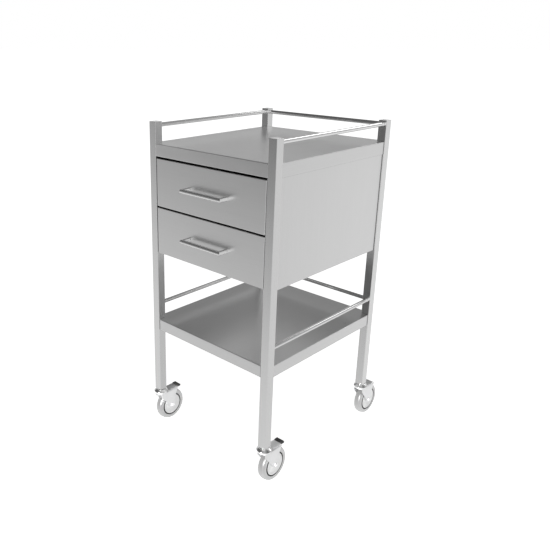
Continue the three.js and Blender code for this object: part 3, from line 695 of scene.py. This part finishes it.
for corner in CORNERS:
    braked = corner.startswith("front")
    pre = f"castor_{corner}_"
    slo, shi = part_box(pre + "stem")
    alo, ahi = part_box(pre + "axle")
    flo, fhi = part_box(pre + "fork")
    post_lo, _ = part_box("post_" + corner)
    sx, sy = (slo.x + shi.x) / 2, (slo.y + shi.y) / 2            # swivel axis
    ax = Vector(((alo.x + ahi.x) / 2, (alo.y + ahi.y) / 2, (alo.z + ahi.z) / 2))  # wheel axle
    trail, wheel_z = ax.y - sy, ax.z
    foot = post_lo.z

    # --- stem: hex nut and washer below, shank, chrome collar, square plug in the upright
    bm = bmesh.new()
    zb = slo.z
    o3 = (sx, sy, 0)
    nut = hexagon(8.9 * MM)
    loft(bm, [[(sx + x * f, sy + y * f, z) for x, y in nut] for f, z in ((0.9, zb), (0.985, zb + 0.5 * MM), (1.0, zb + 0.9 * MM), (1.0, zb + 3.6 * MM))])
    lathe(bm, [(0, zb - 0.0 * MM), (3.6 * MM, zb - 0.0 * MM), (4.2 * MM, zb + 0.6 * MM), (4.2 * MM, zb + 1.0 * MM), (0, zb + 1.0 * MM)], (sx, sy, -1.2 * MM + 0.0), 2, 32)
    lathe(bm, [(5.9 * MM, zb + 3.7 * MM), (8.7 * MM, zb + 3.7 * MM), (9 * MM, zb + 3.9 * MM), (9 * MM, zb + 4.4 * MM), (8.8 * MM, zb + 4.6 * MM), (5.9 * MM, zb + 4.6 * MM)], o3, 2, 48, closed=True)
    zc = foot - 1.6 * MM
    lathe(bm, [(0, zb + 4.65 * MM), (5.9 * MM, zb + 4.65 * MM), (5.9 * MM, zc), (11.4 * MM, zc), (12.1 * MM, zc + 0.25 * MM), (12.3 * MM, zc + 0.7 * MM), (12.1 * MM, zc + 1.15 * MM), (11.5 * MM, zc + 1.4 * MM), (0, zc + 1.4 * MM)], o3, 2, 64)
    hp = (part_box("post_" + corner)[1].x - post_lo.x) / 2 - 1.8 * MM
    box_lathe(bm, xy, sx, sy, hp, hp, 1.5 * MM, [(0.6 * MM, zc + 1.45 * MM), (0, zc + 2.2 * MM), (0, foot + 42 * MM), (0.8 * MM, foot + 43.4 * MM)], n=4)
    piece(pre + "stem", bm, CHROME)

    # --- fork: pressed crown and side plates, with the race housing and its dished cap above
    top = 105 * MM
    side_out = (fhi.x - flo.x) / 2
    # (flo, fhi) also cover the dished cap, so the plates' outer faces come from the axle's shoulders
    plate = 16 * MM
    bm = bmesh.new()
    prism(bm, [(sx + p.x, p.y) for p in sheet([(-plate, 38 * MM), (-plate, top), (plate, top), (plate, 38 * MM)], 2 * MM, 3.4 * MM, side=-1, steps=6)], xz, sy - 30 * MM, sy + 70 * MM)
    fork = raw(pre + "fork", bm)
    tr, wz = trail, wheel_z
    ring = [(tr + 8.7 * MM * math.cos(a), wz + 8.7 * MM * math.sin(a)) for a in (math.pi + 0.5 + (math.pi - 0.35) * k / 14 for k in range(15))]
    outline = fillet([(-13 * MM, 106 * MM), (-13 * MM, 99 * MM), (-7 * MM, 89 * MM), (tr - 7.6 * MM, wz - 4.2 * MM)], [0, 3 * MM, 3 * MM, 0], 5)[:-1]
    outline += ring
    outline += fillet([ring[-1], (49.5 * MM, 88 * MM), (58 * MM, 102 * MM), (57 * MM, 106 * MM)], [0, 12 * MM, 2.5 * MM, 0], 5)[1:]
    bm = bmesh.new()
    prism(bm, [(sy + p[0], p[1]) for p in outline], yz, sx - 30 * MM, sx + 30 * MM)
    boolean(fork, raw("cut_side", bm), "INTERSECT")
    plan = [(math.copysign(16.001 * MM * abs(math.cos(a)) ** 0.67, math.cos(a)), -16.001 * MM * abs(math.sin(a)) ** 0.67) for a in (math.pi + math.pi * k / 24 for k in range(25))]
    plan += [(16.001 * MM, 60 * MM), (-16.001 * MM, 60 * MM)]
    bm = bmesh.new()
    prism(bm, [(sx + x, sy + y) for x, y in plan], xy, 20 * MM, 120 * MM)
    boolean(fork, raw("cut_plan", bm), "INTERSECT")
    if braked:
        bm = bmesh.new()
        prism(bm, rrect(sx, sy + 50 * MM, 14 * MM, 30.5 * MM, 2 * MM, 4), xy, 95 * MM, 110 * MM)
        boolean(fork, raw("cut_pedal", bm), "DIFFERENCE")
    m = fork.modifiers.new("edges", "BEVEL")
    m.width, m.segments, m.limit_method, m.angle_limit, m.use_clamp_overlap = 0.4 * MM, 2, "ANGLE", math.radians(42), True
    settle(fork)
    bm = bmesh.new()
    bm.from_mesh(fork.data)
    head = fillet([(6.4 * MM, 105.02 * MM), (18.2 * MM, 105.02 * MM), (18.2 * MM, 110.2 * MM), (20.8 * MM, 110.6 * MM), (21.5 * MM, 112.4 * MM), (19.4 * MM, 114.0 * MM), (14.2 * MM, 117.6 * MM), (9 * MM, 118.9 * MM), (6.4 * MM, 118.9 * MM)],
                  [0, 0.4 * MM, 0.8 * MM, 0.7 * MM, 0.9 * MM, 3 * MM, 2.5 * MM, 0.6 * MM, 0], 5)
    lathe(bm, [(p[0], p[1]) for p in head], (sx, sy, 0), 2, 80, closed=True, mat=1)
    for f in bm.faces:
        if f.material_index == 1 and f.calc_center_median().z < 110 * MM:
            f.material_index = 0
    fork.data.clear_geometry()
    bm.to_mesh(fork.data)
    bm.free()
    piece(pre + "fork", fork, [FORK, CHROME])

    # --- axle: shank with a low domed head on each side
    half = (ahi.x - alo.x) / 2
    prof = [(0, -half), (2.2 * MM, -half), (4.6 * MM, -half + 0.35 * MM), (5.8 * MM, -half + 1.1 * MM), (6.2 * MM, -half + 1.8 * MM), (6.2 * MM, -half + 2.25 * MM), (3.95 * MM, -half + 2.3 * MM)]
    bm = bmesh.new()
    lathe(bm, prof + [(a, -b) for a, b in reversed(prof)], ax, 0, 48)
    piece(pre + "axle", bm, BOLT, sharp=50)

    # --- hub: moulded disc, stepped in rings, with a proud boss and a raised rim
    prof = [(4.3, -13.2), (8.4, -13.2), (9.2, -12.8), (9.5, -11.0), (10.6, -10.4), (19.0, -10.6), (19.6, -11.2), (21.2, -11.2), (21.8, -10.6), (27.6, -10.9), (28.2, -11.7), (31.6, -11.7), (32.3, -11.2), (32.7, -8.0), (34.4, -7.6)]
    prof = fillet([(a * MM, b * MM) for a, b in prof], [0, 0.4 * MM, 0.4 * MM, 0.5 * MM, 0.5 * MM, 0.3 * MM, 0.3 * MM, 0.3 * MM, 0.3 * MM, 0.4 * MM, 0.4 * MM, 0.4 * MM, 0.3 * MM, 0.3 * MM, 0], 3)
    prof = [(p[0], p[1]) for p in prof]
    bm = bmesh.new()
    lathe(bm, prof + [(a, -b) for a, b in reversed(prof)], ax, 0, 96, closed=True)
    # the hub's outer rim takes the groove's painted shade
    groove_shade_faces(bm, ax, 32.1 * MM, 99)
    piece(pre + "hub", bm, [HUB, GROOVE_SHADE])

    # --- tyre: rounded tread, sidewalls that turn in to a groove round the hub's rim
    tlo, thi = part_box(pre + "tyre")
    R = (thi.z - tlo.z) / 2 / MM
    prof = [(34.5, -7.6), (35.4, -8.0), (36.1, -10.7), (36.8, -11.3), (38.6, -11.9), (43.0, -12.0), (46.0, -11.3), (48.0, -9.4), (49.3, -6.6), (R - 0.12, -3.4), (R, 0)]
    prof = fillet([(a * MM, b * MM) for a, b in prof], [0, 0.4 * MM, 0.6 * MM, 0.6 * MM, 3 * MM, 3 * MM, 3 * MM, 3 * MM, 4 * MM, 8 * MM, 0], 3)
    prof = [(p[0], p[1]) for p in prof]
    bm = bmesh.new()
    lathe(bm, prof + [(a, -b) for a, b in reversed(prof[:-1])], ax, 0, 128, closed=True)
    # the tyre's inner edge takes the groove's painted shade
    groove_shade_faces(bm, ax, 0, 36.2 * MM)
    piece(pre + "tyre", bm, [TYRE, GROOVE_SHADE])

    if not braked:
        continue

    # --- pedal: pressed plate with turned-down ears, ribs across it and a tongue for the pad
    plo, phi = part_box(pre + "brake_pedal")
    z0, z1 = 104.5 * MM, phi.z
    bm = bmesh.new()
    cy = sy + (21 + 58.2) / 2 * MM
    box_lathe(bm, xy, sx, cy, 13.7 * MM, 18.6 * MM, 1.6 * MM, [(0.4 * MM, z0), (0, z0 + 0.4 * MM), (0, z1 - 0.7 * MM), (0.2 * MM, z1 - 0.2 * MM), (0.7 * MM, z1)], n=4)
    box_lathe(bm, xy, sx, sy + 63.5 * MM, 9.8 * MM, 5.4 * MM, 1.0 * MM, [(0.3 * MM, z0), (0, z0 + 0.3 * MM), (0, z1 - 0.3 * MM), (0.3 * MM, z1)], n=3)
    for k in range(6):
        yc = sy + (27 + 5.2 * k) * MM
        box_lathe(bm, xy, sx, yc, 10.6 * MM, 1.1 * MM, 1.0 * MM, [(0, z1 - 0.2 * MM), (0, z1 + 0.15 * MM), (0.35 * MM, z1 + 0.5 * MM), (0.8 * MM, z1 + 0.62 * MM)], n=4)
    ear = fillet([(21.2 * MM, z0 + 0.2 * MM), (21 * MM, 98 * MM), (23 * MM, 95.6 * MM), (29 * MM, 95.6 * MM), (33 * MM, z0 + 0.2 * MM)], [0, 1.5 * MM, 1.5 * MM, 2 * MM, 0], 4)
    for s in (-1, 1):
        prism(bm, [(sy + p[0], p[1]) for p in ear], yz, sx + s * 12.6 * MM, sx + s * 13.7 * MM)
        lathe(bm, [(0, 13.75 * MM), (2 * MM, 13.75 * MM), (2 * MM, 16.1 * MM), (1.7 * MM, 16.4 * MM), (0, 16.4 * MM)] if s > 0 else [(0, -13.75 * MM), (2 * MM, -13.75 * MM), (2 * MM, -16.1 * MM), (1.7 * MM, -16.4 * MM), (0, -16.4 * MM)], (sx, sy + 26 * MM, 99 * MM), 0, 24)
    piece(pre + "brake_pedal", bm, PEDAL)

    # --- pad: moulded black rubber with raised ribs
    plo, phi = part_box(pre + "brake_pad")
    cx, cy = (plo.x + phi.x) / 2, (plo.y + phi.y) / 2
    hx, hy = (phi.x - plo.x) / 2, (phi.y - plo.y) / 2
    zt = phi.z - 0.7 * MM
    bm = bmesh.new()
    box_lathe(bm, xy, cx, cy, hx, hy, 2.6 * MM, [(0.9 * MM, plo.z), (0.2 * MM, plo.z + 0.6 * MM), (0, plo.z + 1.4 * MM), (0, zt - 1.6 * MM), (0.3 * MM, zt - 0.7 * MM), (1.0 * MM, zt - 0.1 * MM), (1.8 * MM, zt)], n=6)
    for k in range(4):
        yc = cy + (-4.35 + 2.9 * k) * MM
        box_lathe(bm, xy, cx, yc, hx - 3.0 * MM, 0.75 * MM, 0.7 * MM, [(0, zt - 0.1 * MM), (0, zt + 0.3 * MM), (0.35 * MM, zt + 0.7 * MM)], n=3)
    piece(pre + "brake_pad", bm, PAD)


# ------------------------------------------------------------------ stage: floor, light, camera

scene = bpy.context.scene
bm = bmesh.new()
bmesh.ops.create_circle(bm, cap_ends=True, radius=60, segments=96)
floor = raw("studio_floor", bm)
m, g, b, co = material("floor_pale")
v = g.math("MULTIPLY_ADD", g.noise(co, 3.0, 2.0), 0.01, 0.93)
g.put(b.inputs["Base Color"], g.grey(v))
g.put(b.inputs["Roughness"], 0.9)
g.put(b.inputs["Specular IOR Level"], 0.0)
g.put(b.inputs["Emission Color"], (1.0, 1.0, 1.0, 1.0))
g.put(b.inputs["Emission Strength"], 0.62)
floor.data.materials.append(m)
floor.visible_glossy = False
floor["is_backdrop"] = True

world = bpy.data.worlds.new("studio")
scene.world = world
world.use_nodes = True
w = Nodes(world.node_tree)
out = w.add("ShaderNodeOutputWorld")
d = w.add("ShaderNodeSeparateXYZ", {0: w.add("ShaderNodeTexCoord").outputs["Generated"]})
dx, dy, dz = d.outputs[0], d.outputs[1], d.outputs[2]
el = w.math("MULTIPLY", w.math("ARCSINE", w.math("MINIMUM", w.math("MAXIMUM", dz, -1.0), 1.0)), 180 / math.pi)
az = w.math("MULTIPLY", w.math("ARCTAN2", dy, dx), 180 / math.pi)            # -180..180, 0 is +X, 90 is +Y
az = w.math("ADD", az, w.math("MULTIPLY", w.math("LESS_THAN", az, 0.0), 360.0))  # 0..360


def window(a0, a1, a2, a3):
    """Rises smoothly from azimuth a0 to a1 and falls again from a2 to a3."""
    return w.math("MULTIPLY", w.ramp(az, a0, a1, 0, 1, True), w.ramp(az, a2, a3, 1, 0, True))


def mix(a, b, t):
    return w.math("ADD", w.math("MULTIPLY", a, w.math("SUBTRACT", 1.0, t)), w.math("MULTIPLY", b, t))


front = window(215, 231, 250, 275)      # the dim side of the room, ahead of the drawers and to the left
near = window(268, 295, 335, 352)       # a bright wall by the camera's right
right = window(-10, 35, 85, 120)        # the bright side
back = window(95, 125, 165, 200)        # behind the cart, on the left
centre = w.math("ADD", -12.0, w.math("ADD", w.math("MULTIPLY", front, -6.5), w.math("MULTIPLY", right, 12.0)))
width = w.math("ADD", 10.0, w.math("MULTIPLY", front, 3.5))
below = w.math("DIVIDE", w.math("SUBTRACT", centre, el), width)             # -1 above the floor's edge, 1 below it
floor_glow = mix(w.ramp(below, -1.0, 1.0, 0, 1, True), w.ramp(below, -1.0, 1.0, 0, 1), front)
middle = mix(mix(mix(mix(0.54, 0.165, front), 0.70, right), 0.80, back), 1.0, near)
ceiling = mix(mix(mix(0.14, 0.60, near), 0.46, window(38, 62, 104, 124)), 0.45, w.ramp(el, 52.0, 78.0, 0, 1, True))
upper = mix(middle, ceiling, w.ramp(el, 7.0, 31.0, 0, 1, True))
ground = mix(mix(1.0, w.ramp(az, 37.0, 65.0, 0.76, 1.12), window(0, 20, 80, 100)), w.ramp(az, 215.0, 237.0, 1.06, 0.94), window(200, 212, 250, 275))
base = mix(upper, ground, floor_glow)
# a small softbox on the right, behind the cart
soft_az, soft_el = math.radians(84), math.radians(33)
c = Vector((math.cos(soft_el) * math.cos(soft_az), math.cos(soft_el) * math.sin(soft_az), math.sin(soft_el)))
cosine = w.math("ADD", w.math("ADD", w.math("MULTIPLY", dx, c.x), w.math("MULTIPLY", dy, c.y)), w.math("MULTIPLY", dz, c.z))
box_light = w.ramp(cosine, math.cos(math.radians(11)), math.cos(math.radians(7)), 0, 1, True)
light = w.math("ADD", base, w.math("MULTIPLY", box_light, 3.2))
lp = w.add("ShaderNodeLightPath")
again = w.math("GREATER_THAN", lp.outputs["Ray Depth"], 2.5)       # metal seen in metal keeps light
light = mix(light, mix(light, mix(mix(mix(mix(1.0, 0.6, window(22, 32, 40, 47)), 1.9, window(44, 51, 62, 74)), 0.25, window(225, 234, 262, 276)), 2.2, near), 0.65), again)
dome = w.math("ADD", 0.56, w.math("MULTIPLY", dx, 0.14))
light = mix(light, dome, lp.outputs["Is Diffuse Ray"])
strength = w.math("ADD", w.math("MULTIPLY", lp.outputs["Is Camera Ray"], 1.0),
                  w.math("MULTIPLY", w.math("SUBTRACT", 1.0, lp.outputs["Is Camera Ray"]), light))
bg = w.add("ShaderNodeBackground", {"Color": (1.0, 1.0, 1.0), "Strength": strength})
w.put(out.inputs["Surface"], bg.outputs[0])
world.cycles.sampling_method = "NONE"


def area(name, at, aim, size, power, glossy=False):
    L = bpy.data.lights.new(name, "AREA")
    L.shape, L.size, L.energy = "DISK", size, power
    o = bpy.data.objects.new(name, L)
    scene.collection.objects.link(o)
    o.location = at
    o.rotation_mode = "QUATERNION"
    o.rotation_quaternion = (Vector(aim) - Vector(at)).to_track_quat("-Z", "Y")
    o.visible_glossy = glossy
    o.visible_camera = False
    return o


# a softbox that only the castors' plastic, rubber and plating see: it gives the tyres their highlight
sheen = area("castor_softbox", (0.40, -2.4, 0.74), (0, 0, 0.06), 0.45, 360, glossy=True)
sheen.data.shape, sheen.data.size_y = "RECTANGLE", 1.4
sheen.visible_diffuse = False
castors = bpy.data.collections.new("castor_pieces")
for o in scene.objects:
    if o.name.startswith("castor_") and o.name.endswith("_visual"):
        castors.objects.link(o)
sheen.light_linking.receiver_collection = castors

cam_data = bpy.data.cameras.new("camera")
cam = bpy.data.objects.new("camera", cam_data)
scene.collection.objects.link(cam)
scene.camera = cam
frame_y = (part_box("post_front_left")[0].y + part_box("post_rear_left")[1].y) / 2
CAM = Vector((1.12863, frame_y - 1.38709, CAD_HI.z + 0.22178))
YAW, PITCH = -0.799238, -0.324828
forward = Vector((math.sin(YAW) * math.cos(PITCH), math.cos(YAW) * math.cos(PITCH), math.sin(PITCH)))
cam.location = CAM
cam.rotation_mode = "QUATERNION"
cam.rotation_quaternion = forward.to_track_quat("-Z", "Y")
cam_data.sensor_width = 36
cam_data.lens = 632.066 * 36 / 550
cam_data.clip_start, cam_data.clip_end = 0.01, 200

# the lens shift belongs to this viewpoint only: any other camera position looks straight ahead
for prop, value in (("shift_x", (275 - 196.606) / 550), ("shift_y", -(275 - 249.0) / 550)):
    drv = cam_data.driver_add(prop).driver
    drv.type = "SCRIPTED"
    for name, axis in (("x", "LOC_X"), ("y", "LOC_Y")):
        var = drv.variables.new()
        var.name, var.type = name, "TRANSFORMS"
        var.targets[0].id, var.targets[0].transform_type, var.targets[0].transform_space = cam, axis, "WORLD_SPACE"
    drv.expression = f"{value:.6f} if abs(x - {CAM.x:.5f}) + abs(y - {CAM.y:.5f}) < 0.001 else 0.0"

scene.view_settings.view_transform = "Standard"
scene.view_settings.look = "None"

lo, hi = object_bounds()
